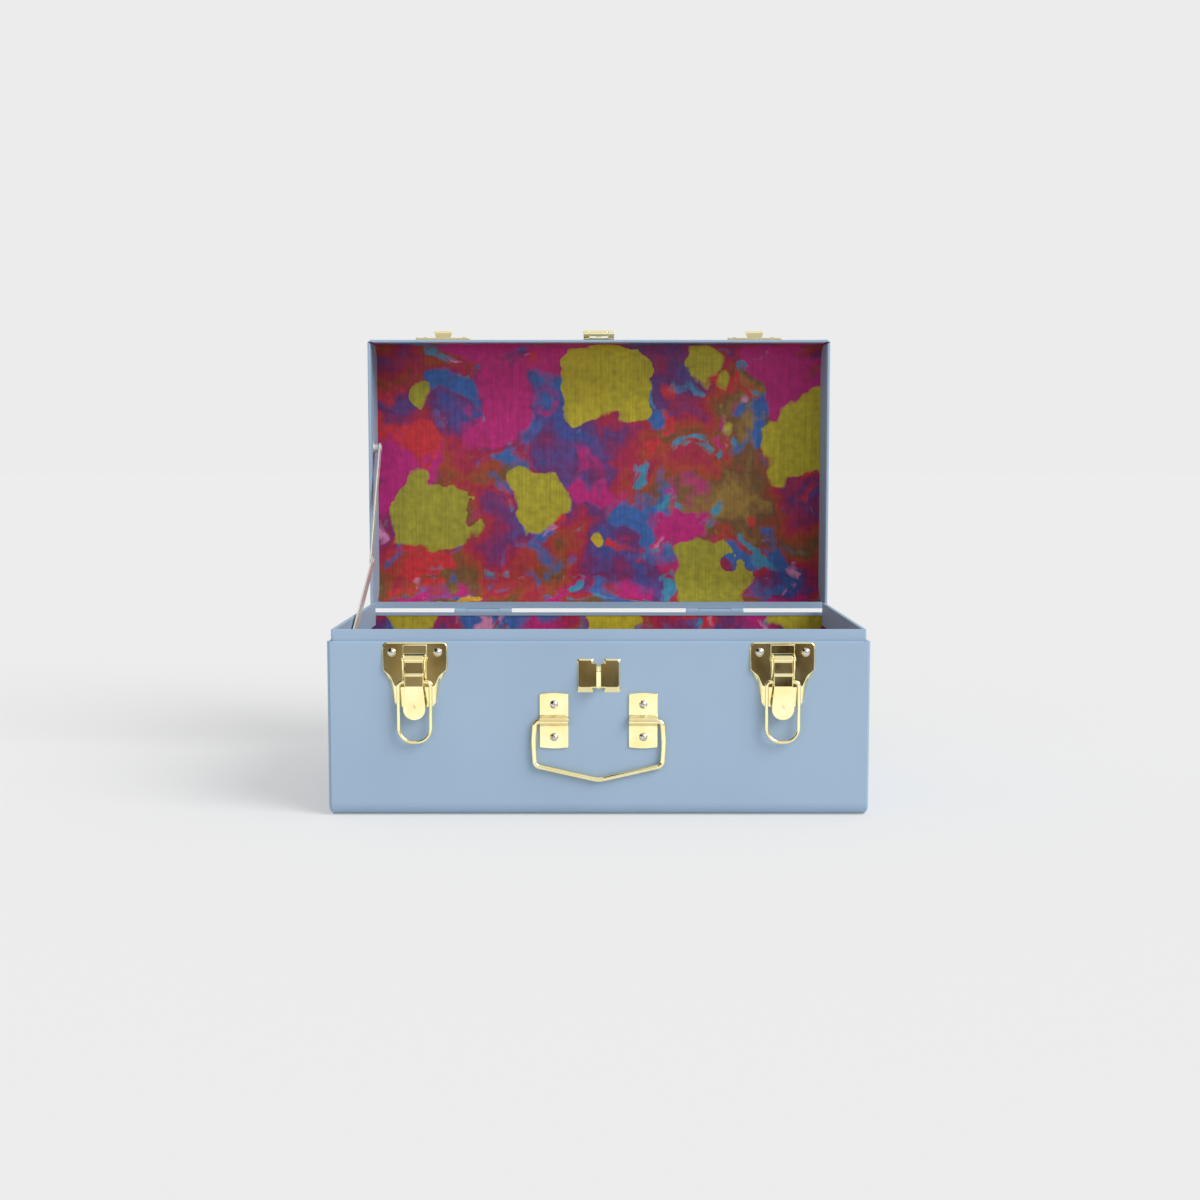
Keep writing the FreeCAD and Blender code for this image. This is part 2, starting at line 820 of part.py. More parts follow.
for name, side in (("left", -1), ("right", 1)):
    place = side * latch_place
    save("latch_plate_" + name, latch_plate(place))
    save("latch_pin_" + name, latch_pin(place))
    save("latch_lever_" + name, latch_lever(place))
    save("bail_" + name, bail(place))
    save("keeper_" + name, opened(keeper(place)))
save("latch_rivets", Part.makeCompound(
    [front_rivet(x, z, plate_seat, plate_seat + sheet) for x, z in latch_rivets]
))
save("keeper_rivets", opened(Part.makeCompound(
    [front_rivet(x, z, keeper_thickness, keeper_thickness + sheet) for x, z in keeper_rivets]
)))


# Handle bracket: a riveted strap pressed out into a barrel over the handle wire, with small
# stiffening darts at the barrel's roots
def crowned(x, low, high, half, crown):
    """Front outline of a strap with gently curved ends."""
    return [
        (x - half, low + crown, 1.0), (x, low, 50.0), (x + half, low + crown, 1.0),
        (x + half, high - crown, 1.0), (x, high, 50.0), (x - half, high - crown, 1.0),
    ]


def handle_bracket(x):
    bore = handle_wire / 2 + pin_fit
    barrel = bore + bracket_sheet
    nose = handle_stand + barrel
    low = handle_pivot - bracket_height / 2
    high = handle_pivot + bracket_height / 2
    profile = [
        (0, low, 0),
        (bracket_sheet, low, 0),
        (bracket_sheet, handle_pivot - barrel, bracket_root_round),
        (nose, handle_pivot - barrel, barrel - 0.05),
        (nose, handle_pivot + barrel, barrel - 0.05),
        (bracket_sheet, handle_pivot + barrel, bracket_root_round),
        (bracket_sheet, high, 0),
        (0, high, 0),
        (0, handle_pivot + bore, 0),
        (handle_stand + bore, handle_pivot + bore, bore - 0.05),
        (handle_stand + bore, handle_pivot - bore, bore - 0.05),
        (0, handle_pivot - bore, 0),
    ]
    half = bracket_width / 2
    dart_half = bracket_dart_width / 2
    strap = out_x(profile, x - half, x + half)
    strap = strap.common(prism_y(crowned(x, low, high, half, bracket_crown), front - depth, front))
    darts = []
    for side in (-1, 1):
        root = handle_pivot + side * barrel
        gusset = [
            (bracket_sheet / 2, root, 0),
            (bracket_sheet + bracket_dart, root, 0),
            (bracket_sheet / 2, root + side * bracket_dart, 0),
        ]
        darts.append(out_x(gusset, x - dart_half, x + dart_half))
    holes = [
        rod_y(front - 2 * bracket_sheet, front + sheet, u, v, rivet_shank / 2 + rivet_fit)
        for u, v in bracket_rivets if abs(u - x) < bracket_width
    ]
    return pierced(joined([strap] + darts), holes)


# Carrying handle: one round wire, bowed legs and a shallow V for the hand
def handle():
    y = front - handle_stand
    half = (handle_width - handle_wire) / 2
    shoulder = half - handle_bow
    inner = bracket_place - bracket_width / 2 + handle_wire / 2
    corner = handle_pivot - handle_leg
    right = [
        (Vector(shoulder, y, corner), handle_bend),
        (Vector(half, y, (handle_pivot + corner) / 2), 6 * handle_bend),
        (Vector(shoulder, y, handle_pivot), handle_bend),
        (Vector(inner, y, handle_pivot), 0),
    ]
    left = [(Vector(-point.x, y, point.z), bend) for point, bend in right[::-1]]
    point = (Vector(0, y, corner - handle_point), 4 * handle_bend)
    return round_rod(left + [point] + right, handle_wire / 2)


for name, side in (("left", -1), ("right", 1)):
    save("handle_bracket_" + name, handle_bracket(side * bracket_place))
save("handle_rivets", Part.makeCompound(
    [front_rivet(x, z, bracket_sheet, bracket_sheet + sheet) for x, z in bracket_rivets]
))
save("handle", handle())


fin_eye = fin_reach - padlock_eye / 2 - fin_wall


# Padlock staple: two bevelled lobes that thicken downward, joined by a neck, with a folded,
# pierced fin
def staple():
    low = staple_middle - staple_height / 2
    high = staple_middle + staple_height / 2
    lobe_inner = neck_width / 2

    def on_wall(p):
        return Vector(p.x, front, p.y)

    def on_face(p):
        return Vector(p.x, front - staple_thin - (high - p.y) * staple_slope, p.y)

    def lobe(side, draw, foot):
        a = side * (lobe_inner + draw)
        b = side * (staple_width / 2 - draw)
        return [(a, low + foot, 1.0), (b, low + foot, 1.6), (b, high - draw, 1.2), (a, high - draw, 1.0)]

    lobes = []
    for side in (-1, 1):
        back = rounded_wire(lobe(side, 0, 0), on_wall)
        face = rounded_wire(lobe(side, staple_pillow, 4 * staple_pillow), on_face)
        lobes.append(Part.makeLoft([back, face], True, True))
    neck_low = staple_middle - neck_height / 2
    neck_high = staple_middle + neck_height / 2
    neck = out_x(
        [
            (0, neck_low, 0),
            (staple_thin + (high - neck_low) * staple_slope, neck_low, neck_round),
            (staple_thin + (high - neck_high) * staple_slope, neck_high, 0),
            (0, neck_high, 0),
        ],
        -lobe_inner - staple_pillow, lobe_inner + staple_pillow
    )
    fin_round = neck_height / 4
    fin = out_x(
        [
            (0, neck_low, 0), (fin_reach, neck_low, fin_round),
            (fin_reach, neck_high, fin_round), (0, neck_high, 0),
        ],
        -fin_thickness / 2, fin_thickness / 2
    )
    fold = block(
        -fold_gap / 2, fold_gap / 2, front - fin_reach, front - fin_reach + fold_depth,
        neck_low, neck_high
    )
    eye = rod_x(-staple_width, staple_width, front - fin_eye, staple_middle, padlock_eye / 2)
    return joined(lobes + [neck, fin]).cut(Part.makeCompound([eye, fold]))


# Hasp on the lid: a riveted leaf with two knuckles, a pin and a slotted flap
hasp_line_height = lid_rim + hasp_rise
hasp_line_y = front - hasp_stand
knuckle_inner = hasp_width / 2 - hasp_knuckle


def hasp_leaf():
    half = hasp_width / 2
    top = hasp_line_height + hasp_base_height
    turn = hasp_line_height + hasp_barrel - hasp_sheet
    path = [(0, top), (0, turn), (hasp_stand, turn)]
    foot = out_x(bent_strip(path, hasp_sheet, 0.6), -half, half)
    gap = block(
        -knuckle_inner, knuckle_inner, front - depth, front - hasp_sheet,
        lid_rim, turn + hasp_sheet
    )
    round_top = prism_y(
        [(-half, lid_rim, 0), (half, lid_rim, 0), (half, top, 5.0), (-half, top, 5.0)],
        front - depth, front
    )
    arms = foot.common(round_top).cut(gap)
    knuckles = [
        rod_x(-half, -knuckle_inner, hasp_line_y, hasp_line_height, hasp_barrel),
        rod_x(knuckle_inner, half, hasp_line_y, hasp_line_height, hasp_barrel),
    ]
    bore = rod_x(-width, width, hasp_line_y, hasp_line_height, hasp_pin_radius + rivet_fit)
    holes = [
        rod_y(front - 2 * hasp_sheet, front + sheet, u, v, rivet_shank / 2 + rivet_fit)
        for u, v in hasp_rivets
    ]
    return pierced(joined([arms] + knuckles), [bore] + holes)


def hasp_pin():
    half = hasp_width / 2
    return rod_x(-half, half, hasp_line_y, hasp_line_height, hasp_pin_radius)


def hasp_flap():
    """Flap drawn closed over the staple, with turned sides and a slot for the fin."""
    half = hasp_width / 2
    knuckle = knuckle_inner - running_gap
    back = hasp_stand - hasp_sheet / 2
    face = hasp_stand + hasp_sheet / 2
    shoulder = hasp_line_height - hasp_barrel - 2 * running_gap
    bottom = staple_middle - neck_height / 2 - hasp_tongue
    neck = block(-knuckle, knuckle, front - face, front - back, shoulder - 1, hasp_line_height)
    leaf = prism_y(
        [(-half, bottom, 3.0), (half, bottom, 3.0), (half, shoulder, 1.5), (-half, shoulder, 1.5)],
        front - face, front - back
    )
    side_low = bottom + 3.0
    side_high = shoulder - 1.5
    sides = [
        block(x0, x0 + hasp_sheet, front - face, front - back + hasp_flange, side_low, side_high)
        for x0 in (-half, half - hasp_sheet)
    ]
    barrel = rod_x(-knuckle, knuckle, hasp_line_y, hasp_line_height, hasp_barrel)
    slot_half = fin_thickness / 2 + slot_clearance
    slot_low = staple_middle - neck_height / 2 - slot_clearance
    slot_high = staple_middle + neck_height / 2 + slot_clearance
    slot = block(-slot_half, slot_half, front - depth, front, slot_low, slot_high)
    bore = rod_x(-width, width, hasp_line_y, hasp_line_height, hasp_pin_radius + pin_fit)
    return pierced(joined([leaf, neck, barrel] + sides), [slot, bore])


def folded_back(shape):
    """The flap swung half a turn up about its pin, against the lid."""
    turned = shape.copy()
    turned.rotate(Vector(0, hasp_line_y, hasp_line_height), Vector(1, 0, 0), 180)
    return turned


save("staple", staple())
save("hasp_leaf", opened(hasp_leaf()))
save("hasp_pin", opened(hasp_pin()))
save("hasp_flap", opened(folded_back(hasp_flap())))
save("hasp_rivets", opened(Part.makeCompound(
    [front_rivet(x, z, hasp_sheet, hasp_sheet + sheet) for x, z in hasp_rivets]
)))


# Folding stay inside the left end: two flat links on rivets, drawn with the lid open
lip_face = lip_inner - half_width
upper_outer = lip_face + running_gap
upper_inner = upper_outer + stay_link_sheet
lower_outer = upper_inner + running_gap
lower_inner = lower_outer + stay_link_sheet


def flat_link(start, end, x0, x1, start_hole, end_hole):
    """Flat bar with round ends between two (Y, Z) pivots, bored at both."""
    half = stay_link_width / 2
    a = Vector(start[0], start[1], 0)
    b = Vector(end[0], end[1], 0)
    along = (b - a).normalize()
    across = Vector(-along.y, along.x, 0)
    flat = half - 0.02
    ends = [a - along * half + across * half, a - along * half - across * half]
    ends += [b + along * half - across * half, b + along * half + across * half]
    bar = prism_x([(p.x, p.y, flat) for p in ends], x0, x1)
    bores = [
        rod_x(x0 - 1, x1 + 1, start[0], start[1], start_hole),
        rod_x(x0 - 1, x1 + 1, end[0], end[1], end_hole),
    ]
    return pierced(bar, bores)


def stay_body_bracket():
    y, z = stay_body_pivot
    half = stay_bracket_length / 2
    low = seam - lip_seat
    face = lip_face + stay_bracket_sheet
    plate = prism_x(
        [
            (y - half, low, 2.0), (y + half, low, 2.0),
            (y + half, seam, 2.0), (y - half, seam, 2.0),
        ],
        lip_face, face
    )
    head = lower_inner + pin_fit
    boss = rod_x(lip_face, lower_outer - running_gap, y, z, stay_boss_radius)
    stud = rod_x(lip_face, head, y, z, stay_rivet_radius)
    button = rod_x(head, head + stay_head_thickness, y, z, stay_rivet_head)
    return joined([plate, boss, stud, button])


def stay_lid_bracket():
    """Stand-off on the lid's end wall, just clear of the upper link."""
    y, z = stay_lid_pivot
    wall = sheet - half_width
    disc = rod_x(wall, wall + stay_bracket_sheet, y, z, stay_foot_radius)
    boss = rod_x(wall, upper_outer - running_gap, y, z, stay_boss_radius)
    return joined([disc, boss])


def stay_rivets():
    """Elbow rivet and lid rivet, flush with the upper link's outer face."""
    rivets = []
    for (y, z), seat in ((stay_mid_pivot, lower_inner + pin_fit), (stay_lid_pivot, upper_inner)):
        rivets.append(joined([
            rod_x(upper_outer, seat, y, z, stay_rivet_radius),
            rod_x(seat, seat + stay_head_thickness, y, z, stay_rivet_head),
        ]))
    return Part.makeCompound(rivets)


loose = stay_rivet_radius + pin_fit
tight = stay_rivet_radius + rivet_fit
lower_link = flat_link(stay_body_pivot, stay_mid_pivot, lower_outer, lower_inner, loose, loose)
upper_link = flat_link(stay_mid_pivot, stay_lid_pivot, upper_outer, upper_inner, tight, tight)
save("stay_body_bracket", stay_body_bracket())
save("stay_lid_bracket", stay_lid_bracket())
save("stay_lower_link", lower_link)
save("stay_upper_link", upper_link)
save("stay_rivets", stay_rivets())
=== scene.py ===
import math

import bpy
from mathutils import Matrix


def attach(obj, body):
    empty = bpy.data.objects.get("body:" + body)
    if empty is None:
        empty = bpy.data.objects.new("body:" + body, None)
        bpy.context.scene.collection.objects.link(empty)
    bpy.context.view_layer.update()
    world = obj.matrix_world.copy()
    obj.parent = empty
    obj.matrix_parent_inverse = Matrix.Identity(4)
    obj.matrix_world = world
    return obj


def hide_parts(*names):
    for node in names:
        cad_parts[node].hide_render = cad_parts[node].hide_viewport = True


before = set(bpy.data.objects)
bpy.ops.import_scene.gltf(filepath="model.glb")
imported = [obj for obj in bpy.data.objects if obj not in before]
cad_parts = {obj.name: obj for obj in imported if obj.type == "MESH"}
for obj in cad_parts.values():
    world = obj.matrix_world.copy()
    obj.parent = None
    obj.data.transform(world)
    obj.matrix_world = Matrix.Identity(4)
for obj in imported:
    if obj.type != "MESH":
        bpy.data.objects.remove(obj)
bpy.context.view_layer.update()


# Painted panels of the body and the lid
# Thin sheet steel, folded and rolled at its edges, sprayed dusty pale blue and baked.
# The hinge leaves are spot-welded on before painting, so they carry the same enamel.
def linear(code):
    """Linear colour of an sRGB hex code."""
    parts = [int(code[i:i + 2], 16) / 255 for i in (1, 3, 5)]
    return tuple(p / 12.92 if p <= 0.04045 else ((p + 0.055) / 1.055) ** 2.4 for p in parts) + (1.0,)


def across(size_mm):
    """Texture scale, in repeats per metre, of a pattern whose marks are this many millimetres wide."""
    return 1000.0 / size_mm


def new_material(name):
    """A material with nodes, and its shader."""
    material = bpy.data.materials.new(name)
    material.use_nodes = True
    return material, material.node_tree.nodes["Principled BSDF"]


def add_node(material, kind, sockets=None, stops=None, **settings):
    """Adds a node: its settings, its colour stops, and its sockets as values or as links."""
    made = material.node_tree.nodes.new(kind)
    for name, value in settings.items():
        setattr(made, name, value)
    for name, value in (sockets or {}).items():
        if isinstance(value, bpy.types.NodeSocket):
            material.node_tree.links.new(value, made.inputs[name])
        else:
            made.inputs[name].default_value = value
    if stops:
        ramp = made.color_ramp.elements
        while len(ramp) < len(stops):
            ramp.new(0.5)
        for element, (place, shade) in zip(ramp, stops):
            element.position = place
            element.color = linear(shade)
    return made


def wire_up(material, output, target):
    """Links a node's output to a socket of a node that is already there, such as the shader."""
    material.node_tree.links.new(output, target)


def dress(material, *nodes):
    """Gives CAD nodes their material."""
    for name in nodes:
        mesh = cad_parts[name].data
        mesh.materials.clear()
        mesh.materials.append(material)


# Satin baked enamel: even colour with a faint cloudiness, and the fine orange peel of sprayed paint,
# drawn about three times as coarse as the real one so that it shows. Most of a noise lies between
# noise_low and noise_high, so roughness and tones are spread over that range, here and further down.
enamel_light = "#A1B8CF"
enamel_deep = "#9DB4CB"
enamel_cloud_mm = 130.0
enamel_peel_mm = 3.2
enamel_peel_depth_mm = 0.2
enamel_peel_strength = 0.12
enamel_roughness = (0.46, 0.58)
enamel_specular = 0.05
noise_low = 0.3
noise_high = 0.7
enamel, enamel_shader = new_material("satin_baked_enamel")
place = add_node(enamel, "ShaderNodeTexCoord").outputs["Object"]
cloud = add_node(
    enamel, "ShaderNodeTexNoise", {"Vector": place, "Scale": across(enamel_cloud_mm), "Detail": 3.0}
)
tone = add_node(
    enamel, "ShaderNodeValToRGB", {"Fac": cloud.outputs["Fac"]},
    stops=[(0.35, enamel_deep), (0.65, enamel_light)],
)
peel = add_node(
    enamel, "ShaderNodeTexNoise", {"Vector": place, "Scale": across(enamel_peel_mm), "Detail": 2.0}
)
gloss = add_node(
    enamel, "ShaderNodeMapRange",
    {
        "Value": peel.outputs["Fac"], "From Min": noise_low, "From Max": noise_high,
        "To Min": enamel_roughness[0], "To Max": enamel_roughness[1],
    },
)
skin = add_node(
    enamel, "ShaderNodeBump",
    {
        "Height": peel.outputs["Fac"], "Strength": enamel_peel_strength,
        "Distance": enamel_peel_depth_mm / 1000,
    },
)
wire_up(enamel, tone.outputs["Color"], enamel_shader.inputs["Base Color"])
wire_up(enamel, gloss.outputs["Result"], enamel_shader.inputs["Roughness"])
wire_up(enamel, skin.outputs["Normal"], enamel_shader.inputs["Normal"])
enamel_shader.inputs["Specular IOR Level"].default_value = enamel_specular
dress(
    enamel, "body_wrap", "body_end_left", "body_end_right", "lip_strip",
    "lid_wrap", "lid_end_left", "lid_end_right",
    "hinge_body_leaf_left", "hinge_body_leaf_right", "hinge_lid_leaf_left", "hinge_lid_leaf_right",
    "hinge_pin_left", "hinge_pin_right",
)


# Printed lining of the body and the lid
# Cotton-backed paper glued to the steel, printed with loose painted patches in strong colours.
# The print is a plain abstract one: rounded pebbles and cloudy dabs, streaked by the cloth's threads.
lining_indigo = "#3E4A93"
lining_plum = "#6A2A6A"
lining_crimson = "#A31C42"
lining_rust = "#A03E24"
lining_umber = "#6F4C2C"
lining_ochre = "#8F7030"
lining_cobalt = "#3560A4"
lining_teal = "#3C86A8"
lining_magenta = "#B41A72"
lining_scarlet = "#C42A34"
lining_pink = "#CF86AE"
lining_olive = "#B6A822"
lining_moss = "#95912C"
lining_orange = "#DB842C"
lining_roughness = 0.8
patch_mm = 74.0
dab_mm = 60.0
pebble_mm = 96.0
speck_mm = 34.0
mottle_mm = 6.5
mottle_tones = (0.90, 1.28)

# The Mix node repeats its sockets for each kind of data, so those for colours go by number.
mix_share = 0
mix_under = 6
mix_over = 7
mix_result = 2

# The outlines of patches, dabs and pebbles are pulled out of round by wide lobes and a fine raggedness.
lobe_mm = 58.0
lobe_reach_mm = 75.0
ragged_mm = 9.0
ragged_reach_mm = 9.0
noise_middle = (0.5, 0.5, 0.5)
lining, lining_shader = new_material("printed_lining")
place = add_node(lining, "ShaderNodeTexCoord").outputs["Object"]
pulled = place
for size_mm, reach_mm in ((lobe_mm, lobe_reach_mm), (ragged_mm, ragged_reach_mm)):
    wave = add_node(
        lining, "ShaderNodeTexNoise", {"Vector": place, "Scale": across(size_mm), "Detail": 2.0}
    )
    pull = add_node(
        lining, "ShaderNodeVectorMath", {0: wave.outputs["Color"], 1: noise_middle}, operation="SUBTRACT"
    )
    reach = reach_mm / 1000
    pulled = add_node(
        lining, "ShaderNodeVectorMath", {0: pull.outputs["Vector"], 1: (reach, reach, reach), 2: pulled},
        operation="MULTIPLY_ADD",
    ).outputs["Vector"]
patch = add_node(
    lining, "ShaderNodeTexNoise", {"Vector": pulled, "Scale": across(patch_mm), "Detail": 3.0}
)
ground = add_node(
    lining, "ShaderNodeValToRGB", {"Fac": patch.outputs["Fac"]},
    stops=[
        (0.30, lining_indigo), (0.39, lining_plum), (0.46, lining_crimson), (0.53, lining_rust),
        (0.60, lining_umber), (0.68, lining_ochre),
    ],
)

# Dabs of one colour each: size, where in the noise they lie, the noise at the rim and inside, colour.
dabs = [
    (dab_mm, (3.1, 0.4, 1.7), 0.55, 0.61, lining_cobalt),
    (dab_mm * 1.3, (7.9, 2.2, 5.3), 0.55, 0.60, lining_magenta),
    (dab_mm * 0.8, (2.7, 6.3, 8.8), 0.60, 0.65, lining_scarlet),
    (dab_mm * 0.6, (1.3, 9.1, 4.4), 0.63, 0.69, lining_teal),
    (dab_mm * 0.7, (5.5, 3.8, 0.9), 0.67, 0.73, lining_pink),
]
colour = ground.outputs["Color"]
for size_mm, shift, rim, full, shade in dabs:
    moved = add_node(lining, "ShaderNodeVectorMath", {0: pulled, 1: shift}, operation="ADD")
    dab = add_node(
        lining, "ShaderNodeTexNoise",
        {"Vector": moved.outputs["Vector"], "Scale": across(size_mm), "Detail": 3.0},
    )
    cover = add_node(
        lining, "ShaderNodeMapRange", {"Value": dab.outputs["Fac"], "From Min": rim, "From Max": full}
    )
    colour = add_node(
        lining, "ShaderNodeMix",
        {mix_share: cover.outputs["Result"], mix_under: colour, mix_over: linear(shade)}, data_type="RGBA",
    ).outputs[mix_result]

# Pebbles, each in a cell of its own: size of the cells, share of them that has one, how far from the
# middle it is full and where it ends, in cells, and the two colours between which it lies.
pebbles = [
    (pebble_mm, 0.44, 0.44, 0.47, lining_olive, lining_moss),
    (speck_mm, 0.07, 0.28, 0.34, lining_orange, lining_olive),
]
for size_mm, share, full, rim, first, second in pebbles:
    cell = add_node(lining, "ShaderNodeTexVoronoi", {"Vector": pulled, "Scale": across(size_mm)})
    split = add_node(lining, "ShaderNodeSeparateColor", {"Color": cell.outputs["Color"]})
    chosen = add_node(
        lining, "ShaderNodeMath", {0: split.outputs["Red"], 1: share}, operation="LESS_THAN"
    )
    inside = add_node(
        lining, "ShaderNodeMapRange",
        {"Value": cell.outputs["Distance"], "From Min": full, "From Max": rim, "To Min": 1.0, "To Max": 0.0},
    )
    cover = add_node(
        lining, "ShaderNodeMath", {0: chosen.outputs[0], 1: inside.outputs["Result"]}, operation="MULTIPLY"
    )
    shade = add_node(
        lining, "ShaderNodeMix",
        {mix_share: split.outputs["Green"], mix_under: linear(first), mix_over: linear(second)},
        data_type="RGBA",
    )
    colour = add_node(
        lining, "ShaderNodeMix",
        {mix_share: cover.outputs[0], mix_under: colour, mix_over: shade.outputs[mix_result]},
        data_type="RGBA",
    ).outputs[mix_result]
mottle = add_node(
    lining, "ShaderNodeTexNoise", {"Vector": place, "Scale": across(mottle_mm), "Detail": 4.0}
)
worn = add_node(
    lining, "ShaderNodeMapRange",
    {
        "Value": mottle.outputs["Fac"], "From Min": noise_low, "From Max": noise_high,
        "To Min": mottle_tones[0], "To Max": mottle_tones[1],
    },
)
colour = add_node(
    lining, "ShaderNodeMix", {mix_share: 1.0, mix_under: colour, mix_over: worn.outputs["Result"]},
    data_type="RGBA", blend_type="MULTIPLY",
).outputs[mix_result]

# Threads of the cloth, drawn about three times as coarse as real ones so that they show.
thread_mm = 1.6
thread_run_mm = 60.0
thread_tones = (0.84, 1.08)
thread_depth_mm = 0.3
thread_strength = 0.2
threads = add_node(
    lining, "ShaderNodeMapping",
    {"Vector": place, "Scale": (across(thread_mm), across(thread_run_mm), across(thread_run_mm))},
)
thread = add_node(
    lining, "ShaderNodeTexNoise", {"Vector": threads.outputs["Vector"], "Scale": 1.0, "Detail": 2.0}
)
streak = add_node(
    lining, "ShaderNodeMapRange",
    {
        "Value": thread.outputs["Fac"], "From Min": noise_low, "From Max": noise_high,
        "To Min": thread_tones[0], "To Max": thread_tones[1],
    },
)
printed = add_node(
    lining, "ShaderNodeMix", {mix_share: 1.0, mix_under: colour, mix_over: streak.outputs["Result"]},
    data_type="RGBA", blend_type="MULTIPLY",
)
weave = add_node(
    lining, "ShaderNodeBump",
    {"Height": thread.outputs["Fac"], "Strength": thread_strength, "Distance": thread_depth_mm / 1000},
)
wire_up(lining, printed.outputs[mix_result], lining_shader.inputs["Base Color"])
wire_up(lining, weave.outputs["Normal"], lining_shader.inputs["Normal"])
lining_shader.inputs["Roughness"].default_value = lining_roughness
dress(lining, "body_lining", "lid_lining")


# Toggle latches, and the keepers on the lid that they hook over
# Each latch is a pressed plate with two ears, a lever that turns on a pin, and a wire bail.
# All are brass-plated and polished, so the plates are copied with softly rounded edges.

# Faces that meet within flat_angle degrees are joined, and edges sharper than edge_angle are rounded.
# Corners further than stray_m from the CAD surface are strays, and faces from flat_face_m2 up stay flat.
merge_m = 0.00001
flat_angle = 0.5
edge_angle = 28.0
edge_segments = 2
stray_m = 0.0003
smooth_angle = 35.0
flat_face_m2 = 0.000025


def softened(node, piece_name, edge_mm, body, material, clamp=False):
    """A copy of a CAD node with its sharp edges rounded, standing for that node."""
    piece = bpy.data.objects.new(piece_name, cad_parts[node].data.copy())
    bpy.context.scene.collection.objects.link(piece)
    bpy.ops.object.select_all(action="DESELECT")
    piece.select_set(True)
    bpy.context.view_layer.objects.active = piece
    bpy.ops.object.mode_set(mode="EDIT")
    bpy.ops.mesh.select_all(action="SELECT")
    bpy.ops.mesh.remove_doubles(threshold=merge_m)
    bpy.ops.mesh.dissolve_limited(angle_limit=math.radians(flat_angle))
    bpy.ops.object.mode_set(mode="OBJECT")
    bpy.ops.object.modifier_add(type="BEVEL")
    edges = piece.modifiers[-1]
    edges.width = edge_mm / 1000
    edges.segments = edge_segments
    edges.limit_method = "ANGLE"
    edges.angle_limit = math.radians(edge_angle)
    edges.use_clamp_overlap = clamp
    bpy.ops.object.modifier_apply(modifier=edges.name)
    # Where faces meet at a slim angle the bevel throws a corner far off; it goes back on to the CAD surface.
    for corner in piece.data.vertices:
        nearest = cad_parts[node].closest_point_on_mesh(corner.co)[1]
        if (corner.co - nearest).length > stray_m:
            corner.co = nearest
    # Broad faces stay flat, and small ones, such as the rounded edges, are shaded smooth between them.
    bpy.ops.object.shade_smooth_by_angle(angle=math.radians(smooth_angle))
    for face in piece.data.polygons:
        face.use_smooth = face.area < flat_face_m2
    bpy.ops.object.modifier_add(type="WEIGHTED_NORMAL")
    normals = piece.modifiers[-1]
    normals.keep_sharp = True
    bpy.ops.object.modifier_apply(modifier=normals.name)
    piece.data.materials.clear()
    piece.data.materials.append(material)
    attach(piece, body)
    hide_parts(node)


# Polished brass plate: mirror bright, pale gold, with the faint haze and upright lines of a buffing wheel.
# The lines are drawn many times as coarse as real ones so that they show.
brass_pale = "#FFF5C4"
brass_warm = "#FCE9A8"
brass_roughness = (0.06, 0.13)
brass_haze_mm = 18.0
buff_line_mm = 0.8
buff_run_mm = 10.0
buff_depth_mm = 0.05
buff_strength = 0.04
brass, brass_shader = new_material("polished_brass_plate")
place = add_node(brass, "ShaderNodeTexCoord").outputs["Object"]
haze = add_node(
    brass, "ShaderNodeTexNoise", {"Vector": place, "Scale": across(brass_haze_mm), "Detail": 3.0}
)
tone = add_node(
    brass, "ShaderNodeValToRGB", {"Fac": haze.outputs["Fac"]}, stops=[(0.3, brass_warm), (0.6, brass_pale)]
)
lines = add_node(
    brass, "ShaderNodeMapping", {"Vector": place, "Scale": (1.0, 1.0, buff_line_mm / buff_run_mm)}
)
buff = add_node(
    brass, "ShaderNodeTexNoise", {"Vector": lines.outputs["Vector"], "Scale": across(buff_line_mm)}
)
shine = add_node(
    brass, "ShaderNodeMapRange",
    {
        "Value": haze.outputs["Fac"], "From Min": noise_low, "From Max": noise_high,
        "To Min": brass_roughness[0], "To Max": brass_roughness[1],
    },
)
grain = add_node(
    brass, "ShaderNodeBump",
    {"Height": buff.outputs["Fac"], "Strength": buff_strength, "Distance": buff_depth_mm / 1000},
)
wire_up(brass, tone.outputs["Color"], brass_shader.inputs["Base Color"])
wire_up(brass, shine.outputs["Result"], brass_shader.inputs["Roughness"])
wire_up(brass, grain.outputs["Normal"], brass_shader.inputs["Normal"])
brass_shader.inputs["Metallic"].default_value = 1.0
dress(brass, "latch_pin_left", "latch_pin_right", "bail_left", "bail_right")
plate_edge_mm = 0.35
for side in ("left", "right"):
    latch_pieces = [
        ("latch_plate_" + side, "latch_shield_" + side, "trunk_body"),
        ("latch_lever_" + side, "latch_duckbill_" + side, "lever_" + side),
        ("keeper_" + side, "keeper_hook_" + side, "lid"),
    ]
    for node, piece_name, body in latch_pieces:
        softened(node, piece_name, plate_edge_mm, body, brass)


# Carrying handle
# A bent wire handle on the front wall, which turns in two bracket straps.
# The straps are riveted to the wall, and all of it has the latches' polished plating.
dress(brass, "handle")
for side in ("left", "right"):
    softened(
        "handle_bracket_" + side, "handle_strap_" + side, plate_edge_mm,
        "trunk_body", brass,
    )


# Padlock staple and hasp
# The staple stands on the body, and the hasp swings from a leaf on the lid; pressed sheet, plated as above.
# The staple's folds lie close together, so its rounding stops where two edges would run into each other.
dress(brass, "hasp_pin")
softened("staple", "padlock_staple", plate_edge_mm, "trunk_body", brass, clamp=True)
softened("hasp_leaf", "hasp_base", plate_edge_mm, "lid", brass)
softened("hasp_flap", "hasp_tongue", plate_edge_mm, "hasp", brass)


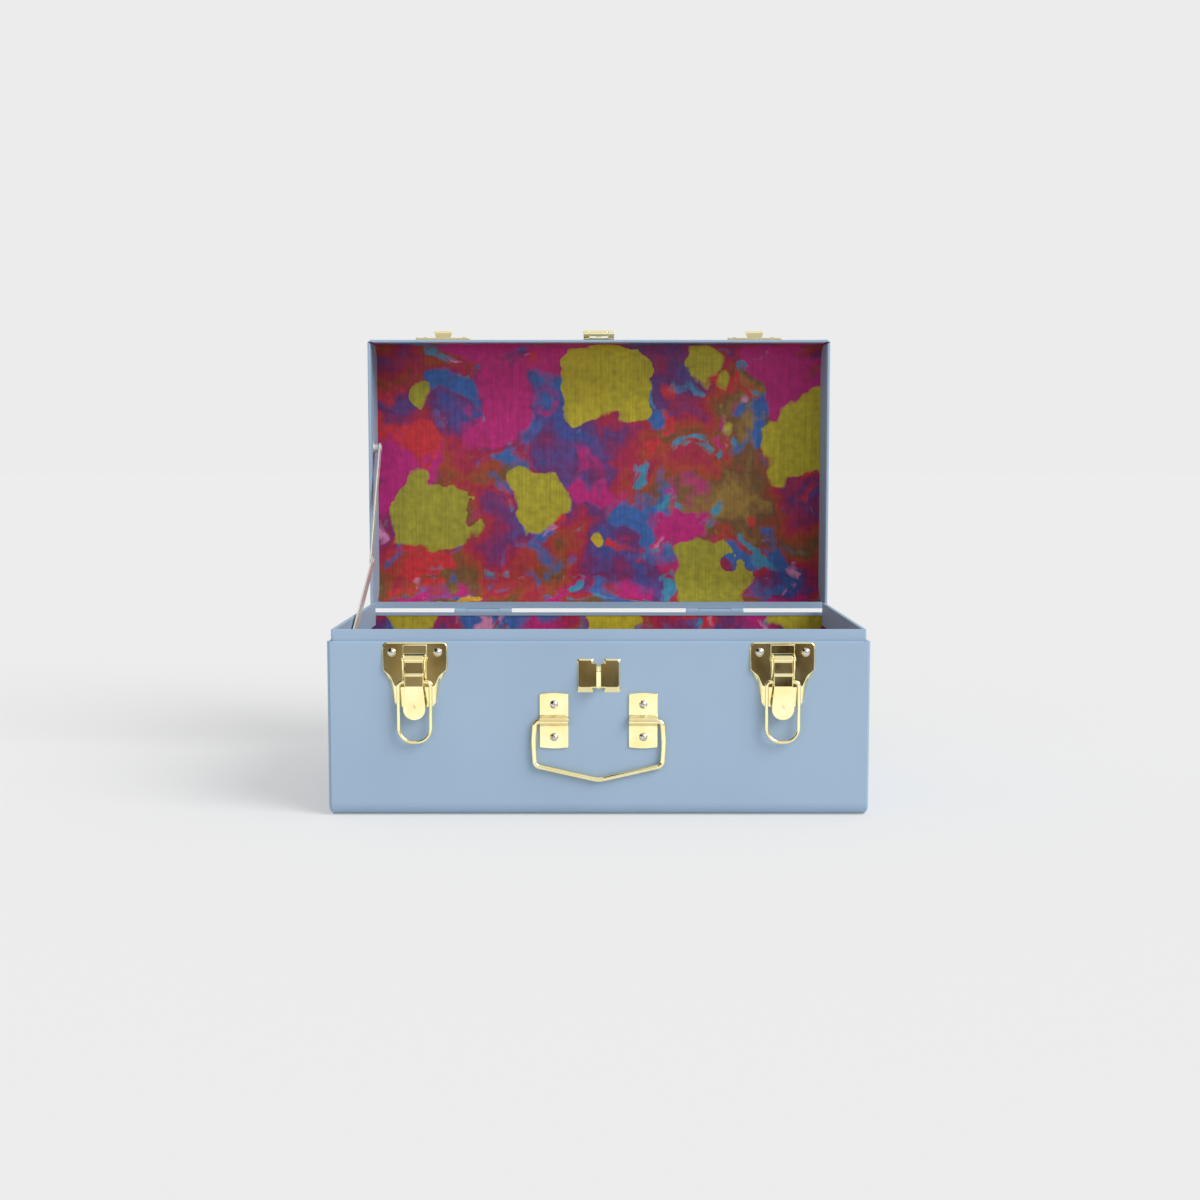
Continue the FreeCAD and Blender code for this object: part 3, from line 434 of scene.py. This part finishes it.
# Rivets of the hardware
# Nickel-plated steel rivets with domed heads, set through the plates and the sheet.
# Nickel is a warm grey mirror, slightly dulled by handling.
nickel_bright = "#DAD7D2"
nickel_dull = "#B9B4AD"
nickel_roughness = (0.10, 0.22)
nickel_haze_mm = 2.5
nickel, nickel_shader = new_material("bright_nickel")
place = add_node(nickel, "ShaderNodeTexCoord").outputs["Object"]
haze = add_node(
    nickel, "ShaderNodeTexNoise", {"Vector": place, "Scale": across(nickel_haze_mm), "Detail": 2.0}
)
tone = add_node(
    nickel, "ShaderNodeValToRGB", {"Fac": haze.outputs["Fac"]},
    stops=[(0.3, nickel_dull), (0.6, nickel_bright)],
)
shine = add_node(
    nickel, "ShaderNodeMapRange",
    {
        "Value": haze.outputs["Fac"], "From Min": noise_low, "From Max": noise_high,
        "To Min": nickel_roughness[0], "To Max": nickel_roughness[1],
    },
)
wire_up(nickel, tone.outputs["Color"], nickel_shader.inputs["Base Color"])
wire_up(nickel, shine.outputs["Result"], nickel_shader.inputs["Roughness"])
nickel_shader.inputs["Metallic"].default_value = 1.0
dress(nickel, "latch_rivets", "keeper_rivets", "handle_rivets", "hasp_rivets")


# Folding lid stay
# Two flat links of nickel-plated steel strip, riveted to each other, with a bracket on the body and one
# on the lid. The plating is dulled by a thin grey film, so it shines only in part as metal does.
steel_bright = "#E6E4DF"
steel_dull = "#D3D0C9"
steel_roughness = (0.28, 0.42)
steel_metallic = 0.45
film_mm = 6.0
film_edge_mm = 0.6
steel, steel_shader = new_material("plated_rolled_steel")
place = add_node(steel, "ShaderNodeTexCoord").outputs["Object"]
# The film is cloudy along the strip's broad faces and finer across its thickness.
film_stretch = film_edge_mm / film_mm
layers = add_node(steel, "ShaderNodeMapping", {"Vector": place, "Scale": (1.0, film_stretch, film_stretch)})
film = add_node(
    steel, "ShaderNodeTexNoise", {"Vector": layers.outputs["Vector"], "Scale": across(film_edge_mm)}
)
tone = add_node(
    steel, "ShaderNodeValToRGB", {"Fac": film.outputs["Fac"]},
    stops=[(0.3, steel_dull), (0.65, steel_bright)],
)
shine = add_node(
    steel, "ShaderNodeMapRange",
    {
        "Value": film.outputs["Fac"], "From Min": noise_low, "From Max": noise_high,
        "To Min": steel_roughness[0], "To Max": steel_roughness[1],
    },
)
wire_up(steel, tone.outputs["Color"], steel_shader.inputs["Base Color"])
wire_up(steel, shine.outputs["Result"], steel_shader.inputs["Roughness"])
steel_shader.inputs["Metallic"].default_value = steel_metallic
dress(steel, "stay_rivets")
stay_edge_mm = 0.3
softened("stay_body_bracket", "stay_foot_plate", stay_edge_mm, "trunk_body", steel)
softened("stay_lid_bracket", "stay_stand_off", stay_edge_mm, "lid", steel)
softened("stay_lower_link", "stay_lower_bar", stay_edge_mm, "stay_lower", steel)
softened("stay_upper_link", "stay_upper_bar", stay_edge_mm, "stay_upper", steel)


# Studio: floor, cards, light and camera
# A pale seamless floor under soft light from the right. Three glowing cards stand where only reflections
# show them, as painted
# reflections in the metal: a low brown one behind the camera, a dark one high on the left, a white one on
# the floor.
backdrop_shade = "#ECECEC"
floor_size = 60.0
bpy.ops.object.select_all(action="DESELECT")
bpy.ops.mesh.primitive_plane_add(size=floor_size)
floor = bpy.context.object
floor.name = "studio_floor"


def seen_directly(material):
    """One for rays that show the studio itself: from the camera, off metal or through glass."""
    ray = add_node(material, "ShaderNodeLightPath")
    direct = add_node(
        material, "ShaderNodeMath", {0: ray.outputs["Is Camera Ray"], 1: ray.outputs["Is Glossy Ray"]},
        operation="MAXIMUM",
    )
    shown = add_node(
        material, "ShaderNodeMath", {0: direct.outputs[0], 1: ray.outputs["Is Transmission Ray"]},
        operation="MAXIMUM",
    )
    return shown.outputs[0]


# Matt seamless paper. A share of its brightness is the backdrop's own shade, so that the floor runs into
# the backdrop without an edge; the rest is lit and takes the trunk's shadow.
paper_shade = "#F0F0F0"
paper_glow = 0.36
paper, paper_shader = new_material("seamless_paper")
paper_shader.inputs["Base Color"].default_value = linear(paper_shade)
paper_shader.inputs["Roughness"].default_value = 1.0
paper_shader.inputs["Specular IOR Level"].default_value = 0.0
share = add_node(paper, "ShaderNodeMath", {0: seen_directly(paper), 1: paper_glow}, operation="MULTIPLY")
glow = add_node(paper, "ShaderNodeEmission", {"Color": linear(backdrop_shade)})
sheet = add_node(
    paper, "ShaderNodeMixShader",
    {0: share.outputs[0], 1: paper_shader.outputs["BSDF"], 2: glow.outputs["Emission"]},
)
wire_up(paper, sheet.outputs["Shader"], paper.node_tree.nodes["Material Output"].inputs["Surface"])
floor.data.materials.append(paper)


def card_material(name, shade, level):
    """A black material that gives off its shade at a level of its own, where one is the plain shade."""
    material, shader = new_material(name)
    shader.inputs["Base Color"].default_value = linear("#000000")
    shader.inputs["Specular IOR Level"].default_value = 0.0
    shader.inputs["Emission Color"].default_value = linear(shade)
    shader.inputs["Emission Strength"].default_value = level
    return material, shader


def reflection_card(name, middle, turn, size, material):
    """A card that only glossy rays see; turn is its rotation in degrees, size its width and height."""
    bpy.ops.object.select_all(action="DESELECT")
    bpy.ops.mesh.primitive_plane_add(
        size=1.0, location=middle, rotation=[math.radians(angle) for angle in turn]
    )
    card = bpy.context.object
    card.name = name
    card.scale = (size[0], size[1], 1.0)
    card.visible_camera = False
    card.visible_diffuse = False
    card.visible_shadow = False
    card.visible_transmission = False
    card.data.materials.append(material)


# A flat brown card that glows, seen only in reflections, with upright folds painted on it: painted shade in
# their hollows, painted light on their ridges.
fold_hollow_painted_shade = "#140D05"
fold_shade = "#3E3322"
fold_side = "#7C705B"
fold_ridge_painted_light = "#B0A48C"
fold_width = 0.24
folds_in_height = 1.6
brown_size = (9.0, 0.70)
brown_place = (0.0, -4.0, brown_size[1] / 2)
brown_turn = (-90, 0, 0)
brown_glow, brown_glow_shader = card_material("brown_reflection_glow", fold_side, 1.0)
place = add_node(brown_glow, "ShaderNodeTexCoord").outputs["Object"]
folds = add_node(
    brown_glow, "ShaderNodeMapping", {"Vector": place, "Scale": (brown_size[0] / fold_width, folds_in_height, 1.0)}
)
fold = add_node(brown_glow, "ShaderNodeTexNoise", {"Vector": folds.outputs["Vector"], "Scale": 1.0, "Detail": 3.0})
depth = add_node(
    brown_glow, "ShaderNodeValToRGB", {"Fac": fold.outputs["Fac"]},
    stops=[(0.38, fold_hollow_painted_shade), (0.46, fold_shade), (0.55, fold_side), (0.66, fold_ridge_painted_light)],
)
# The painted fold shade and light become the card's glow, a painted reflection in the brass.
wire_up(brown_glow, depth.outputs["Color"], brown_glow_shader.inputs["Emission Color"])
reflection_card("brown_card", brown_place, brown_turn, brown_size, brown_glow)

# The dark card and the white one glow, and give the plates that lean up or down their darks and their lights
# as painted reflections.
dark_shade = "#2A241C"
dark_size = (4.2, 5.4)
dark_place = (-2.4, -1.7, 2.4)
dark_turn = (0, -45, 0)
# A near-black glow: painted dark reflections in the brass.
dark_reflection_glow = card_material("dark_reflection_glow", dark_shade, 1.0)[0]
reflection_card("dark_card", dark_place, dark_turn, dark_size, dark_reflection_glow)

white_shade = "#FFFFFF"
white_level = 1.12
white_size = (6.0, 3.7)
white_place = (0.0, -2.1, 0.001)
white_turn = (0, 0, 0)
# A glow a little above white, lying on the floor: painted light reflections in the brass.
white_reflection_glow = card_material("white_reflection_glow", white_shade, white_level)[0]
reflection_card("white_card", white_place, white_turn, white_size, white_reflection_glow)

# The sky lights the trunk evenly, and the camera and the metal see the backdrop in its place.
sky_level = 0.62
world = bpy.data.worlds.new("studio_light")
bpy.context.scene.world = world
world.use_nodes = True
sky = world.node_tree.nodes["Background"]
backdrop = add_node(
    world, "ShaderNodeMix",
    {
        mix_share: seen_directly(world), mix_under: (sky_level, sky_level, sky_level, 1.0),
        mix_over: linear(backdrop_shade),
    },
    data_type="RGBA",
)
wire_up(world, backdrop.outputs[mix_result], sky.inputs["Color"])

# A wide soft sun in place of a softbox, from the right, in front and above; angles in degrees.
key_level = 1.9
key_softness = 38.0
key_turn = 56.0
key_lift = 36.0
bpy.ops.object.light_add(
    type="SUN", rotation=(math.radians(90 - key_lift), 0.0, math.radians(key_turn))
)
key = bpy.context.object
key.name = "key_light"
key.data.energy = key_level
key.data.angle = math.radians(key_softness)

# The camera stands where the photograph's perspective puts it, dipped by a few degrees.
camera_place = (0.0011, -1.502, 0.297)
camera_dip = 4.855
camera_lens = 50.06
camera_sensor = 36.0
bpy.ops.object.camera_add(location=camera_place, rotation=(math.radians(90 - camera_dip), 0.0, 0.0))
camera = bpy.context.object
camera.name = "photo_camera"
camera.data.lens = camera_lens
camera.data.sensor_width = camera_sensor
bpy.context.scene.camera = camera
bpy.context.scene.view_settings.view_transform = "Standard"
